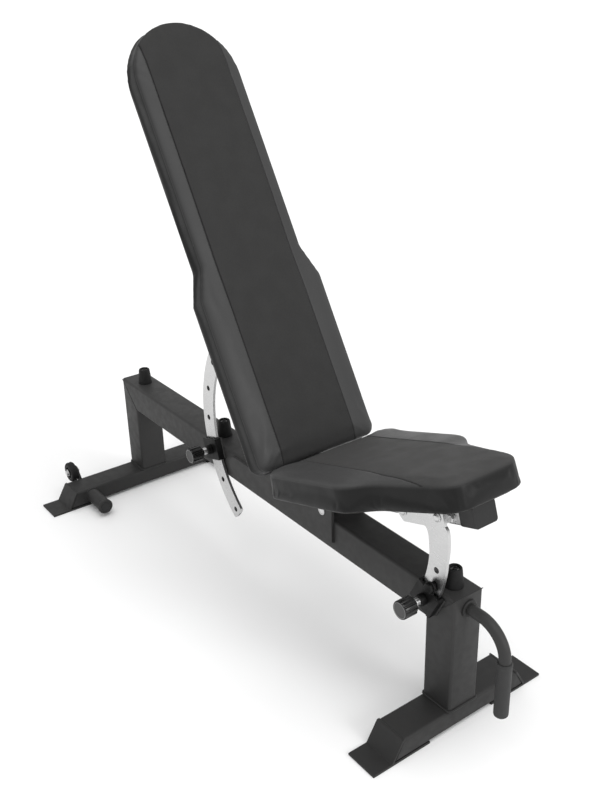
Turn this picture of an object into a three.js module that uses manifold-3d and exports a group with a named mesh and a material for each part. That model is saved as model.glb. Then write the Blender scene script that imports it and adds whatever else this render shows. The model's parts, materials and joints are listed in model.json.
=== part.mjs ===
// Adjustable weight bench: a steel frame with two cross feet, a back rest and a seat that each
// turn on a bolt and lock by a sprung pull pin in a curved ladder plate.
// Millimetres, +X towards the seat end, +Y to the sitter's left, +Z up. The origin is on the floor
// under the middle of the bounding box.
import * as THREE from 'three';
import { mergeVertices } from 'three/addons/utils/BufferGeometryUtils.js';
import Module from 'manifold-3d';

const wasm = await Module();
wasm.setup();

// ---------------------------------------------------------------- driving dimensions
const GAP = 0.3; // clearance between pieces that meet inside a turned group
const TUBE = 70; // square tube of the posts and the beam
const HALF = TUBE / 2;
const WALL = 3;
const CORNER = 6; // outer corner radius of the tubes
const BEAM_TOP = 290;
const REAR_X = -1155; // middle of the rear post; the front post stands at X = 0
const FOOT_TOP = 45; // top of a cross foot
const PLATE = 5; // foot plate thickness
const FRONT_FOOT = 426; // length of each cross foot over its plates
const REAR_FOOT = 590;
const TOE = 44; // how far a foot plate stands out past its tube
const BEVEL = 24; // run of the sloping end of a cross tube
const MITRE_GAP = 0.2;

const BACK_PIVOT = { x: -454, z: 364 };
const BACK_ANGLE = 59; // degrees from level, as the bench stands
const SEAT_PIVOT = { x: -225, z: 373 };
const SEAT_ANGLE = 18;
const SIDE_PLATE = 6; // pivot side plates, one on each side of the beam
const PIVOT_BOLT_R = 6;

const LADDER_T = 6;
const LADDER_W = 42;
const LADDER_NEAR = HALF + 3; // distance of the ladder's inner face from the mid plane
const LADDER_FAR = LADDER_NEAR + LADDER_T;
const HOLE_R = 6.2;
const BACK_LADDER_R = 284;
const BACK_PIN_ANGLE = 197.5; // where the pull pin meets the back ladder, seen from its pivot
const BACK_HOLES = [-59, -45, -30, -15, 0, 15, 30]; // hole angles from the pin
const SEAT_LADDER_R = 225;
const SEAT_PIN_ANGLE = -26.5;
const SEAT_HOLES = [0, 18];

const GUIDE_IN = LADDER_W / 2 + 2; // half the clear width of a ladder guide
const GUIDE_T = 5;
const GUIDE_WEB = LADDER_FAR + 3; // inner face of the guide's outer web
const GUIDE_LEN = 50;
const PIN_R = 5;
const BARREL_R = 9;
const BARREL_LEN = 21;
const FLANGE_LEN = 12;
const KNOB_R = 19;
const KNOB_LEN = 34;

const PAD_T = 46;
const BACK_TOP = 83.4; // pad face above the back pivot, in the rest's own flat frame
const BACK_START = 15; // pad's lower edge past the pivot
const BACK_LEN = 919;
const BACK_WIDE = 146; // half widths
const BACK_NARROW = 122;
const SHOULDER_LOW = 354; // along the pad from its lower edge
const SHOULDER_HIGH = 419;
const BACK_TUBE = { w: 50, h: 44, start: 28, end: -722 };
const SEAT_T = 44;
const SEAT_TOP = 80;
const SEAT_REAR = -120;
const SEAT_LEN = 447;
const SEAT_WIDE = 155;
const SEAT_FRONT_HALF = 82;
const SEAT_STRAIGHT = 232;
const BOARD_T = 10;
const CROSS_T = 4; // cross plates between a board and its tube
const SEAT_TUBE = { w: 50, h: 38, start: -90, end: 264 };
const SEAT_CAP_LEN = 35;

const BUMPER_H = 38;
const BUMPER_R = 17;
const REAR_BUMPER_X = -1128;
const MID_BUMPER_X = -746;
const FRONT_BUMPER_X = -2;

const HANDLE_Z = 263;
const HANDLE_R = 11;
const HANDLE_REACH = 125; // from the front post's middle to the grip
const HANDLE_BEND = 60;
const GRIP_R = 13.5;
const GRIP_TOP = 203;
const GRIP_END = 87;

const WHEEL_R = 26;
const WHEEL_W = 18;
const WHEEL_X = REAR_X - HALF - 27;
const WHEEL_Y = 196;
const WHEEL_Z = 56;
const PEG_R = 19;
const PEG_LEN = 76;
const PEG_Y = 186;
const PEG_Z = 27;

// The box runs from the wheels' rear rim to the front of the hand grip.
const ORIGIN_X = -(WHEEL_X - WHEEL_R + HANDLE_REACH + GRIP_R) / 2;

// ---------------------------------------------------------------- materials
const finish = (color, roughness, metalness) => () =>
  new THREE.MeshStandardMaterial({ color, roughness, metalness });
const blackPaint = finish(0x232425, 0.55, 0.3);
const zinc = finish(0xc9ccd0, 0.28, 1.0);
const rubber = finish(0x141414, 0.85, 0.0);
const plastic = finish(0x17181a, 0.5, 0.0);
const board = finish(0x1a1a1a, 0.8, 0.0);
const upholstery = finish(0x242528, 0.6, 0.0);

// ---------------------------------------------------------------- solids
const rad = THREE.MathUtils.degToRad;

function toSolid(geometry) {
  const bare = geometry.clone();
  bare.deleteAttribute('normal');
  bare.deleteAttribute('uv');
  const merged = mergeVertices(bare, 1e-4);
  return new wasm.Manifold(new wasm.Mesh({
    numProp: 3,
    vertProperties: Float32Array.from(merged.attributes.position.array),
    triVerts: Uint32Array.from(merged.index.array),
  }));
}

function toGeometry(solid) {
  const mesh = solid.getMesh();
  const geometry = new THREE.BufferGeometry();
  geometry.setAttribute('position', new THREE.BufferAttribute(mesh.vertProperties, 3));
  geometry.setIndex(new THREE.BufferAttribute(mesh.triVerts, 1));
  geometry.computeVertexNormals();
  return geometry;
}

function cut(geometry, ...tools) {
  let solid = toSolid(geometry);
  for (const tool of tools) solid = solid.subtract(toSolid(tool));
  return toGeometry(solid);
}

function join(geometry, ...more) {
  let solid = toSolid(geometry);
  for (const piece of more) solid = solid.add(toSolid(piece));
  return toGeometry(solid);
}

function outline(points) {
  return new THREE.Shape(points.map(([x, y]) => new THREE.Vector2(x, y)));
}

function roundedRect(w, h, r, path = new THREE.Shape()) {
  const x = w / 2;
  const y = h / 2;
  path.moveTo(-x + r, -y);
  path.lineTo(x - r, -y);
  path.absarc(x - r, -y + r, r, -Math.PI / 2, 0, false);
  path.lineTo(x, y - r);
  path.absarc(x - r, y - r, r, 0, Math.PI / 2, false);
  path.lineTo(-x + r, y);
  path.absarc(-x + r, y - r, r, Math.PI / 2, Math.PI, false);
  path.lineTo(-x, -y + r);
  path.absarc(-x + r, -y + r, r, Math.PI, Math.PI * 1.5, false);
  return path;
}

function extrude(shape, depth, curveSegments = 3) {
  return new THREE.ExtrudeGeometry(shape, { depth, bevelEnabled: false, curveSegments });
}

// A profile drawn in X and Z, given thickness from yLow to yHigh.
function slab(shape, yLow, yHigh, curveSegments = 6) {
  return extrude(shape, yHigh - yLow, curveSegments).rotateX(Math.PI / 2).translate(0, yHigh, 0);
}

function box(x0, x1, y0, y1, z0, z1) {
  return new THREE.BoxGeometry(x1 - x0, y1 - y0, z1 - z0)
    .translate((x0 + x1) / 2, (y0 + y1) / 2, (z0 + z1) / 2);
}

// A round bar along Y.
function rodY(x, z, r, y0, y1, sides = 16) {
  return new THREE.CylinderGeometry(r, r, Math.abs(y1 - y0), sides).translate(x, (y0 + y1) / 2, z);
}

// A piece turned about Y; the profile gives [radius, y] pairs, in either order round the outline.
function turned(profile, sides = 16) {
  const area = profile.reduce((sum, [r, y], i) => {
    const [nextR, nextY] = profile[(i + 1) % profile.length];
    return sum + r * nextY - nextR * y;
  }, 0);
  const ordered = area > 0 ? profile : [...profile].reverse();
  return new THREE.LatheGeometry(ordered.map(([r, y]) => new THREE.Vector2(r, y)), sides);
}

function turnedY(x, z, profile, sides) {
  return turned(profile, sides).translate(x, 0, z);
}

function hollowSection(w, h, r) {
  const section = roundedRect(w, h, r);
  section.holes.push(roundedRect(w - 2 * WALL, h - 2 * WALL, r - WALL, new THREE.Path()));
  return section;
}

// ---------------------------------------------------------------- assembly helpers
const bench = new THREE.Group();
bench.position.x = ORIGIN_X;

const backGroup = new THREE.Group();
backGroup.position.set(BACK_PIVOT.x, 0, BACK_PIVOT.z);
backGroup.rotation.y = rad(BACK_ANGLE);
bench.add(backGroup);

const seatGroup = new THREE.Group();
seatGroup.position.set(SEAT_PIVOT.x, 0, SEAT_PIVOT.z);
seatGroup.rotation.y = -rad(SEAT_ANGLE);
bench.add(seatGroup);

function add(group, name, geometry, material) {
  const mesh = new THREE.Mesh(geometry, material());
  mesh.name = name;
  group.add(mesh);
}

// Both sides of the bench: the sitter's right is -Y.
const SIDES = [['right', -1], ['left', 1]];

// ---------------------------------------------------------------- frame
function crossFoot(name, x, length) {
  const run = length / 2 - TOE;
  const height = FOOT_TOP - PLATE;
  const middle = PLATE + height / 2;
  const tube = extrude(hollowSection(TUBE, height, CORNER), 2 * run)
    .rotateX(-Math.PI / 2)
    .translate(x, -run, middle);
  const ends = SIDES.map(([, side]) => {
    const low = side * (run - PLATE);
    const high = side * (run - PLATE - BEVEL);
    const far = side * (run + 50);
    const wedge = outline([[low, PLATE - 1], [far, PLATE - 1], [far, FOOT_TOP + 1], [high, FOOT_TOP + 1]]);
    return extrude(wedge, TUBE + 20).rotateX(Math.PI / 2).rotateZ(Math.PI / 2)
      .translate(x - HALF - 10, 0, 0);
  });
  add(bench, `${name}_cross_tube`, cut(tube, ...ends), blackPaint);
  for (const [label, side] of SIDES) {
    const drop = PLATE * 1.1;
    const profile = outline([
      [side * (run - 90), 0], [side * (length / 2), 0], [side * (length / 2), PLATE - GAP],
      [side * (run + drop - PLATE + 0.8), PLATE - GAP],
      [side * (run + drop - PLATE - BEVEL + 0.4), FOOT_TOP],
      [side * (run - PLATE - BEVEL + 0.9), FOOT_TOP], [side * (run - PLATE + 1.0), PLATE - GAP],
      [side * (run - 90), PLATE - GAP],
    ]);
    const plate = extrude(profile, TUBE).rotateX(Math.PI / 2).rotateZ(Math.PI / 2)
      .translate(x - HALF, 0, 0);
    add(bench, `${name}_foot_plate_${label}`, plate, blackPaint);
  }
}

function post(name, x, lean) {
  const tube = extrude(hollowSection(TUBE, TUBE, CORNER), BEAM_TOP - FOOT_TOP)
    .translate(x, 0, FOOT_TOP);
  const edge = MITRE_GAP / 2;
  const outer = x - lean * HALF;
  const inner = x + lean * HALF;
  const waste = outline([
    [outer - lean * 20, BEAM_TOP + 20 - edge], [outer - lean * 20, BEAM_TOP + 60],
    [inner + lean * 60, BEAM_TOP + 60], [inner + lean * 20, BEAM_TOP - TUBE - 20 - edge],
  ]);
  add(bench, name, cut(tube, slab(waste, -TUBE, TUBE)), blackPaint);
}

function mainBeam() {
  const low = REAR_X - HALF;
  const tube = extrude(hollowSection(TUBE, TUBE, CORNER), HALF - low)
    .rotateY(Math.PI / 2)
    .translate(low, 0, BEAM_TOP - HALF);
  const edge = MITRE_GAP / 2;
  const wasteAt = (outer, lean) => slab(outline([
    [outer - lean * 20, BEAM_TOP + 20 + edge], [outer + lean * (TUBE + 20), BEAM_TOP - TUBE - 20 + edge],
    [outer + lean * (TUBE - 90), BEAM_TOP - TUBE - 40],
  ]), -TUBE, TUBE);
  add(bench, 'main_beam', cut(tube, wasteAt(low, 1), wasteAt(HALF, -1)), blackPaint);
}

// One side plate: rounded rear end, an ear round the back pivot, and an arm that reaches forward
// under the seat to its pivot.
function sidePlateShape() {
  const rear = -664;
  const front = -297;
  const bottom = 243;
  const shoulder = BEAM_TOP - 4;
  const endR = (shoulder - bottom) / 2;
  const top = 340;
  const ear = 20;
  const armEar = 14;
  const shape = new THREE.Shape();
  shape.moveTo(rear + endR, bottom);
  shape.lineTo(front, bottom);
  shape.lineTo(front, SEAT_PIVOT.z - 37);
  shape.lineTo(SEAT_PIVOT.x - 4, SEAT_PIVOT.z - armEar + 0.6);
  shape.absarc(SEAT_PIVOT.x, SEAT_PIVOT.z, armEar, -Math.PI * 0.59, Math.PI * 0.61, false);
  shape.lineTo(SEAT_PIVOT.x - 37, SEAT_PIVOT.z - 2);
  shape.lineTo(SEAT_PIVOT.x - 76, SEAT_PIVOT.z - 18);
  shape.lineTo(SEAT_PIVOT.x - 102, top);
  shape.lineTo(BACK_PIVOT.x + 34, top);
  shape.absarc(BACK_PIVOT.x, BACK_PIVOT.z, ear, 0, Math.PI * 0.85, false);
  shape.lineTo(BACK_PIVOT.x - 60, shoulder + 22);
  shape.lineTo(BACK_PIVOT.x - 100, shoulder);
  shape.lineTo(rear + endR, shoulder);
  shape.absarc(rear + endR, bottom + endR, endR, Math.PI / 2, Math.PI * 1.5, false);
  return shape;
}

const CLAMP_BOLT = { x: -328, z: 303 };
const CLAMP_BOLT_R = 5;

// A domed bolt head with washer, and the shank behind it, pointing towards +Y.
function bolt(group, name, x, z, headY, length, r, material, head = 1.65) {
  const profile = [
    [0, headY - r * 0.9], [r * 0.9, headY - r * 0.75], [r * head, headY - r * 0.25],
    [r * head, headY - 1.6], [r * (head + 0.35), headY - 1.6], [r * (head + 0.35), headY - GAP],
    [r, headY - GAP], [r, headY + length], [0, headY + length],
  ];
  add(group, name, turnedY(x, z, profile), material);
}

function nut(group, name, x, z, faceY, r, material) {
  const height = r * 1.1;
  const hex = new THREE.CylinderGeometry(r * 1.75, r * 1.75, height, 6)
    .translate(x, faceY + GAP + height / 2, z);
  add(group, name, cut(hex, rodY(x, z, r + 0.25, faceY - 1, faceY + height + 2)), material);
}

function pivotPlates() {
  const axes = [[BACK_PIVOT, PIVOT_BOLT_R], [SEAT_PIVOT, PIVOT_BOLT_R], [CLAMP_BOLT, CLAMP_BOLT_R]];
  for (const [label, side] of SIDES) {
    const low = side < 0 ? -HALF - SIDE_PLATE : HALF;
    const plate = slab(sidePlateShape(), low, low + SIDE_PLATE);
    const holes = axes.map(([at, r]) => rodY(at.x, at.z, r + 0.25, low - 1, low + SIDE_PLATE + 1));
    add(bench, `pivot_plate_${label}`, cut(plate, ...holes), blackPaint);
  }
}

function pivotBolts() {
  const reach = HALF + SIDE_PLATE;
  const bolts = [
    ['back_pivot', BACK_PIVOT, PIVOT_BOLT_R], ['seat_pivot', SEAT_PIVOT, PIVOT_BOLT_R],
    ['clamp', CLAMP_BOLT, CLAMP_BOLT_R],
  ];
  for (const [name, at, r] of bolts) {
    bolt(bench, `${name}_bolt`, at.x, at.z, -reach, 2 * reach + r * 1.1 + 3, r, zinc);
    nut(bench, `${name}_nut`, at.x, at.z, reach, r, zinc);
  }
}

// A U-shaped guide round a ladder plate, welded to the beam's right side, with the pull pin's barrel.
// A tongue on the front one carries the screw that takes up the ladder's play.
function ladderGuide(name, at, slope, tongue) {
  const half = GUIDE_LEN / 2;
  const wide = GUIDE_IN + GUIDE_T;
  const web = GUIDE_WEB + GUIDE_T;
  const place = (geometry) => geometry.rotateY(rad(slope)).translate(at.x, 0, at.z);
  const channel = outline([
    [-wide, -HALF], [-wide, -web], [wide, -web], [wide, -HALF],
    [GUIDE_IN, -HALF], [GUIDE_IN, -GUIDE_WEB], [-GUIDE_IN, -GUIDE_WEB], [-GUIDE_IN, -HALF],
  ]);
  const pieces = [extrude(channel, GUIDE_LEN).translate(0, 0, -half)];
  const holes = [rodY(0, 0, PIN_R + 0.4, -web - 1, -GUIDE_WEB + 1)];
  if (tongue) {
    const reach = half + tongue;
    pieces.push(box(-9, 9, -web, -GUIDE_WEB, half - 1, reach));
    pieces.push(rodY(0, reach, 9, -web, -GUIDE_WEB));
    holes.push(rodY(0, reach, 3.4, -web - 1, -GUIDE_WEB + 1));
  }
  const body = pieces.length > 1 ? join(...pieces) : pieces[0];
  add(bench, `${name}_guide`, place(cut(body, ...holes)), blackPaint);
  const outer = web + BARREL_LEN;
  const barrel = turnedY(0, 0, [
    [PIN_R + 0.4, -outer], [BARREL_R - 1, -outer], [BARREL_R - 1, -web - FLANGE_LEN],
    [BARREL_R + 2, -web - FLANGE_LEN],
    [BARREL_R + 2, -web - GAP], [PIN_R + 0.4, -web - GAP], [PIN_R + 0.4, -outer],
  ]);
  add(bench, `${name}_pin_barrel`, place(barrel), zinc);
  if (tongue) {
    const head = new THREE.CylinderGeometry(11, 11, 7, 6).translate(0, -web - GAP - 3.5, half + tongue);
    const shank = rodY(0, half + tongue, 3, -web - GAP - 1, -LADDER_FAR - 1);
    add(bench, `${name}_guide_screw`, place(join(head, shank)), blackPaint);
  }
}

// The plunger stops just short of the ladder: see the pull pins' joints.
function pullPin(name, at) {
  const web = GUIDE_WEB + GUIDE_T;
  const start = web + BARREL_LEN + 1;
  const nose = LADDER_FAR + GAP;
  const plunger = turnedY(at.x, at.z, [
    [0, -start - 14], [PIN_R, -start - 14], [PIN_R, -nose - 2], [PIN_R - 1.5, -nose], [0, -nose],
  ]);
  add(bench, `${name}_pin_plunger`, plunger, zinc);
  const ribs = 16;
  const rim = [];
  for (let i = 0; i < ribs * 4; i += 1) {
    const angle = (i / (ribs * 4)) * 2 * Math.PI;
    const r = i % 4 < 2 ? KNOB_R : KNOB_R - 1.3;
    rim.push([r * Math.cos(angle), r * Math.sin(angle)]);
  }
  const knob = slab(outline(rim), -start - KNOB_LEN, -start).translate(at.x, 0, at.z);
  const bore = rodY(at.x, at.z, PIN_R + GAP, -start - 14.5, -start + 1);
  add(bench, `${name}_pin_knob`, cut(knob, bore), plastic);
}

function bumper(name, x) {
  const recess = 8;
  const profile = [
    [0, 0], [BUMPER_R, 0], [BUMPER_R, 4], [BUMPER_R - 4, BUMPER_H - 2], [BUMPER_R - 6, BUMPER_H],
    [recess, BUMPER_H], [recess, BUMPER_H - 5], [0, BUMPER_H - 5],
  ];
  const place = (geometry) => geometry.rotateX(Math.PI / 2).translate(x, 0, BEAM_TOP);
  add(bench, `${name}_bumper`, place(turnedY(0, 0, profile)), rubber);
}

function handle() {
  const steps = 10;
  const middle = new THREE.Vector3(HANDLE_REACH - HANDLE_BEND, 0, HANDLE_Z - HANDLE_BEND);
  const points = [new THREE.Vector3(HALF + GAP, 0, HANDLE_Z)];
  for (let i = 0; i <= steps; i += 1) {
    const angle = (Math.PI / 2) * (1 - i / steps);
    points.push(new THREE.Vector3(
      middle.x + HANDLE_BEND * Math.cos(angle), 0, middle.z + HANDLE_BEND * Math.sin(angle)));
  }
  points.push(new THREE.Vector3(HANDLE_REACH, 0, GRIP_END + 8));
  const path = new THREE.CurvePath();
  for (let i = 1; i < points.length; i += 1) path.add(new THREE.LineCurve3(points[i - 1], points[i]));
  const round = new THREE.Shape();
  round.absarc(0, 0, HANDLE_R, 0, 2 * Math.PI, false);
  const bar = new THREE.ExtrudeGeometry(round, { steps: 26, extrudePath: path, curveSegments: 4 });
  const collar = turned([
    [0, 0], [HANDLE_R + 6, 0], [HANDLE_R + 5, 5], [0, 5],
  ], 16).rotateZ(-Math.PI / 2).translate(HALF, 0, HANDLE_Z);
  add(bench, 'handle_bar', join(bar, collar), blackPaint);
  const grip = turned([
    [0, GRIP_END], [GRIP_R - 3, GRIP_END], [GRIP_R, GRIP_END + 3], [GRIP_R, GRIP_TOP - 2],
    [GRIP_R - 1, GRIP_TOP], [HANDLE_R + GAP, GRIP_TOP], [HANDLE_R + GAP, GRIP_END + 7], [0, GRIP_END + 7],
  ], 16).rotateX(Math.PI / 2).translate(HANDLE_REACH, 0, 0);
  add(bench, 'handle_grip', grip, rubber);
}

function wheelsAndPegs() {
  const back = REAR_X - HALF;
  for (const [label, side] of SIDES) {
    const y = side * WHEEL_Y;
    const axle = 4;
    const tyre = turned([
      [axle + 0.3, -WHEEL_W / 2], [WHEEL_R - 8, -WHEEL_W / 2], [WHEEL_R - 6, -WHEEL_W / 2 + 1.5],
      [WHEEL_R - 2, -WHEEL_W / 2 + 1.5], [WHEEL_R, -WHEEL_W / 2 + 4], [WHEEL_R, WHEEL_W / 2 - 4],
      [WHEEL_R - 2, WHEEL_W / 2 - 1.5], [WHEEL_R - 6, WHEEL_W / 2 - 1.5], [WHEEL_R - 8, WHEEL_W / 2],
      [axle + 0.3, WHEEL_W / 2], [axle + 0.3, -WHEEL_W / 2],
    ], 24).translate(WHEEL_X, y, WHEEL_Z);
    add(bench, `wheel_${label}`, tyre, rubber);
    const inner = side * (WHEEL_Y - WHEEL_W / 2 - 1);
    const arm = new THREE.Shape();
    arm.moveTo(back, 20);
    arm.lineTo(back, 44);
    arm.lineTo(WHEEL_X + 8, WHEEL_Z + 12);
    arm.absarc(WHEEL_X, WHEEL_Z, 13, Math.PI / 2, Math.PI * 1.4, false);
    const low = Math.min(inner, inner - side * 5);
    const bracket = slab(arm, low, low + 5);
    add(bench, `wheel_bracket_${label}`,
      cut(bracket, rodY(WHEEL_X, WHEEL_Z, axle + 0.25, low - 1, low + 6)), blackPaint);
    const profile = [
      [0, WHEEL_W / 2 + 7], [5, WHEEL_W / 2 + 7], [7, WHEEL_W / 2 + 5.4], [7, WHEEL_W / 2 + 2],
      [9, WHEEL_W / 2 + 2], [9, WHEEL_W / 2 + GAP], [axle, WHEEL_W / 2 + GAP], [axle, -WHEEL_W / 2 - 12],
      [0, -WHEEL_W / 2 - 12],
    ].map(([r, h]) => [r, -h]);
    const axleBolt = turned(profile, 12);
    if (side > 0) axleBolt.rotateX(Math.PI);
    add(bench, `wheel_bolt_${label}`, axleBolt.translate(WHEEL_X, y, WHEEL_Z), zinc);

    const root = REAR_X + HALF;
    const peg = turned([
      [0, 0], [PEG_R - 1.5, 0], [PEG_R - 1.5, PEG_LEN - 6], [PEG_R - 0.5, PEG_LEN - 6],
      [PEG_R, PEG_LEN - 5], [PEG_R, PEG_LEN + 1], [PEG_R - 2.5, PEG_LEN + 3], [0, PEG_LEN + 3],
    ], 18).rotateZ(-Math.PI / 2)
      .translate(root, side * PEG_Y, PEG_Z);
    add(bench, `band_peg_${label}`, peg, blackPaint);
  }
}

// ---------------------------------------------------------------- back rest, drawn lying flat
// Ends a ladder's curved band squarely at an angle, with rounded corners; goes from its outer edge
// to its inner edge, or back where inward is false.
function bluntEnd(shape, radius, angle, inward) {
  const half = LADDER_W / 2;
  const corner = 9;
  const away = inward ? 1 : -1;
  const at = (r, beyond) => {
    const turn = rad(angle) + away * (beyond / radius);
    return [r * Math.cos(turn), r * Math.sin(turn)];
  };
  const [from, to] = inward ? [radius + half, radius - half] : [radius - half, radius + half];
  const step = inward ? -corner : corner;
  shape.lineTo(...at(from, -corner));
  shape.quadraticCurveTo(...at(from, 0), ...at(from + step, 0));
  shape.lineTo(...at(to - step, 0));
  shape.quadraticCurveTo(...at(to, 0), ...at(to, -corner));
}

function backPadShape(inset) {
  const low = BACK_START - inset;
  const wide = BACK_WIDE - inset;
  const narrow = BACK_NARROW - inset;
  const r = 24;
  const top = low - BACK_LEN + 2 * inset;
  const shape = new THREE.Shape();
  shape.moveTo(low, -wide + r);
  shape.lineTo(low, wide - r);
  shape.absarc(low - r, wide - r, r, 0, Math.PI / 2, false);
  shape.lineTo(BACK_START - SHOULDER_LOW, wide);
  shape.lineTo(BACK_START - SHOULDER_HIGH, narrow);
  shape.lineTo(top + narrow, narrow);
  shape.absarc(top + narrow, 0, narrow, Math.PI / 2, Math.PI * 1.5, false);
  shape.lineTo(BACK_START - SHOULDER_HIGH, -narrow);
  shape.lineTo(BACK_START - SHOULDER_LOW, -wide);
  shape.lineTo(low - r, -wide);
  shape.absarc(low - r, -wide + r, r, Math.PI * 1.5, Math.PI * 2, false);
  return shape;
}

// Cross plates under a board, each with the heads of the two screws that hold it.
function crossPlates(group, name, places, top, halfWidth) {
  const head = [[0, -5.5], [5, -5.5], [7, -3], [7, -1], [9, -1], [9, 1], [0, 1]];
  places.forEach((x, index) => {
    const plate = box(x - 20, x + 20, -halfWidth, halfWidth, top - CROSS_T, top);
    const screws = SIDES.map(([, sign]) => turned(head, 8)
      .rotateX(Math.PI / 2).translate(x, sign * (halfWidth - 16), top - CROSS_T));
    add(group, `${name}_cross_plate_${index + 1}`, join(plate, ...screws), blackPaint);
  });
}

function supportTube(group, name, tube, material) {
  const length = Math.abs(tube.end - tube.start);
  const middle = (tube.start + tube.end) / 2;
  const section = hollowSection(tube.h, tube.w, CORNER);
  const geometry = extrude(section, length).rotateY(Math.PI / 2).translate(middle - length / 2, 0, 0);
  const hole = rodY(0, 0, PIVOT_BOLT_R + 0.25, -tube.w, tube.w);
  add(group, name, cut(geometry, hole), material);
  for (const [label, side] of SIDES) {
    const near = tube.w / 2 + GAP;
    const far = HALF - GAP;
    const bore = PIVOT_BOLT_R + 0.25;
    const bush = turnedY(0, 0, [[bore, near], [11, near], [11, far], [bore, far], [bore, near]]);
    if (side < 0) bush.rotateX(Math.PI);
    add(group, `${name.replace('_support_tube', '')}_pivot_bush_${label}`, bush, plastic);
  }
}

function backRest() {
  const padLow = BACK_TOP - PAD_T;
  add(backGroup, 'back_pad', extrude(backPadShape(0), PAD_T, 12).translate(0, 0, padLow), upholstery);
  const boardTop = padLow - GAP;
  add(backGroup, 'back_board',
    extrude(backPadShape(8), BOARD_T, 12).translate(0, 0, boardTop - BOARD_T), board);
  crossPlates(backGroup, 'back', [-130, -560], boardTop - BOARD_T - GAP, 96);
  supportTube(backGroup, 'back_support_tube', BACK_TUBE, blackPaint);

  // The ladder, turned with the rest: its angles are measured in the flat frame.
  const pin = BACK_PIN_ANGLE + BACK_ANGLE;
  const toPoint = (angle, r = BACK_LADDER_R) => [r * Math.cos(rad(angle)), r * Math.sin(rad(angle))];
  const first = pin + BACK_HOLES[0] - 5;
  const last = pin + BACK_HOLES[BACK_HOLES.length - 1] + 2.9;
  const half = LADDER_W / 2;
  const [ex, ez] = toPoint(first);
  const along = [Math.sin(rad(first)), -Math.cos(rad(first))];
  const out = toPoint(first, 1);
  const reach = 62;
  const boltReach = 60;
  const shape = new THREE.Shape();
  shape.absarc(0, 0, BACK_LADDER_R + half, rad(first), rad(last - 2), false);
  bluntEnd(shape, BACK_LADDER_R, last, true);
  shape.absarc(0, 0, BACK_LADDER_R - half, rad(last - 2), rad(first), true);
  shape.lineTo(ex + along[0] * reach - out[0] * half, ez + along[1] * reach - out[1] * half);
  const [armX, armZ] = [ex + along[0] * reach, ez + along[1] * reach];
  shape.absarc(armX, armZ, half, rad(first + 180), rad(first + 360), false);
  const plate = slab(shape, -LADDER_FAR, -LADDER_NEAR, 12);
  const holes = BACK_HOLES.map((step) => {
    const [x, z] = toPoint(pin + step);
    return rodY(x, z, HOLE_R, -LADDER_FAR - 1, -LADDER_NEAR + 1, 12);
  });
  const bolts = [11, -11].map((aside) => [
    ex + along[0] * boltReach + out[0] * aside, ez + along[1] * boltReach + out[1] * aside]);
  for (const [x, z] of bolts) holes.push(rodY(x, z, 4.3, -LADDER_FAR - 1, -LADDER_NEAR + 1, 12));
  add(backGroup, 'back_ladder', cut(plate, ...holes), zinc);
  ladderFixing('back', backGroup, bolts, BACK_TUBE);
  add(backGroup, 'back_tube_cap', plug(BACK_TUBE, -1), plastic);
  add(backGroup, 'back_rest_foot',
    box(-700, -664, -18, 18, -BACK_TUBE.h / 2 - 12, -BACK_TUBE.h / 2 - GAP), blackPaint);
}

// The block between a support tube's side and its ladder, with the two screws through the ladder.
function ladderFixing(name, group, bolts, tube) {
  const xs = bolts.map(([x]) => x);
  const zs = bolts.map(([, z]) => z);
  const low = Math.max(Math.min(...zs) - 12, -tube.h / 2);
  const high = Math.min(Math.max(...zs) + 12, tube.h / 2);
  const [near, far] = [-tube.w / 2 - GAP, -LADDER_NEAR + GAP];
  const block = box(Math.min(...xs) - 14, Math.max(...xs) + 14, far, near, low, high);
  const screws = bolts.map(([x, z]) => turnedY(x, z, [
    [0, -LADDER_FAR - 5], [4, -LADDER_FAR - 5], [7, -LADDER_FAR - 3], [7, -LADDER_FAR - 1.5],
    [9, -LADDER_FAR - 1.5], [9, -LADDER_FAR - GAP], [4, -LADDER_FAR - GAP], [4, -LADDER_NEAR + 6],
    [0, -LADDER_NEAR + 6],
  ]));
  add(group, `${name}_ladder_fixing`, join(block, ...screws), blackPaint);
}

// A moulded end cap against the open end of a support tube.
function plug(tube, direction, length = 6) {
  const start = tube.end + direction * GAP;
  const low = direction > 0 ? start : start - length;
  const grow = 2;
  return extrude(roundedRect(tube.h + grow, tube.w + grow, CORNER), length)
    .rotateY(Math.PI / 2).translate(low, 0, 0);
}

// ---------------------------------------------------------------- seat, drawn lying flat
function seatPadShape(inset) {
  const rear = SEAT_REAR + inset;
  const wide = SEAT_WIDE - inset;
  const front = SEAT_REAR + SEAT_LEN - inset;
  const frontHalf = SEAT_FRONT_HALF - inset;
  const turn = SEAT_REAR + SEAT_STRAIGHT;
  const r = 34;
  const tip = 40;
  const shape = new THREE.Shape();
  shape.moveTo(rear, -wide + r);
  shape.quadraticCurveTo(rear, -wide, rear + r, -wide);
  shape.lineTo(turn - 14, -wide);
  shape.quadraticCurveTo(turn + 10, -wide, turn + 28, -wide + 18);
  shape.quadraticCurveTo(turn + 48, -wide + 37, turn + 72, -wide + 42);
  shape.lineTo(front - tip, -frontHalf - 8);
  shape.quadraticCurveTo(front, -frontHalf, front, -frontHalf + tip);
  shape.lineTo(front, frontHalf - tip);
  shape.quadraticCurveTo(front, frontHalf, front - tip, frontHalf + 8);
  shape.lineTo(turn + 72, wide - 42);
  shape.quadraticCurveTo(turn + 48, wide - 37, turn + 28, wide - 18);
  shape.quadraticCurveTo(turn + 10, wide, turn - 14, wide);
  shape.lineTo(rear + r, wide);
  shape.quadraticCurveTo(rear, wide, rear, wide - r);
  return shape;
}

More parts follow.
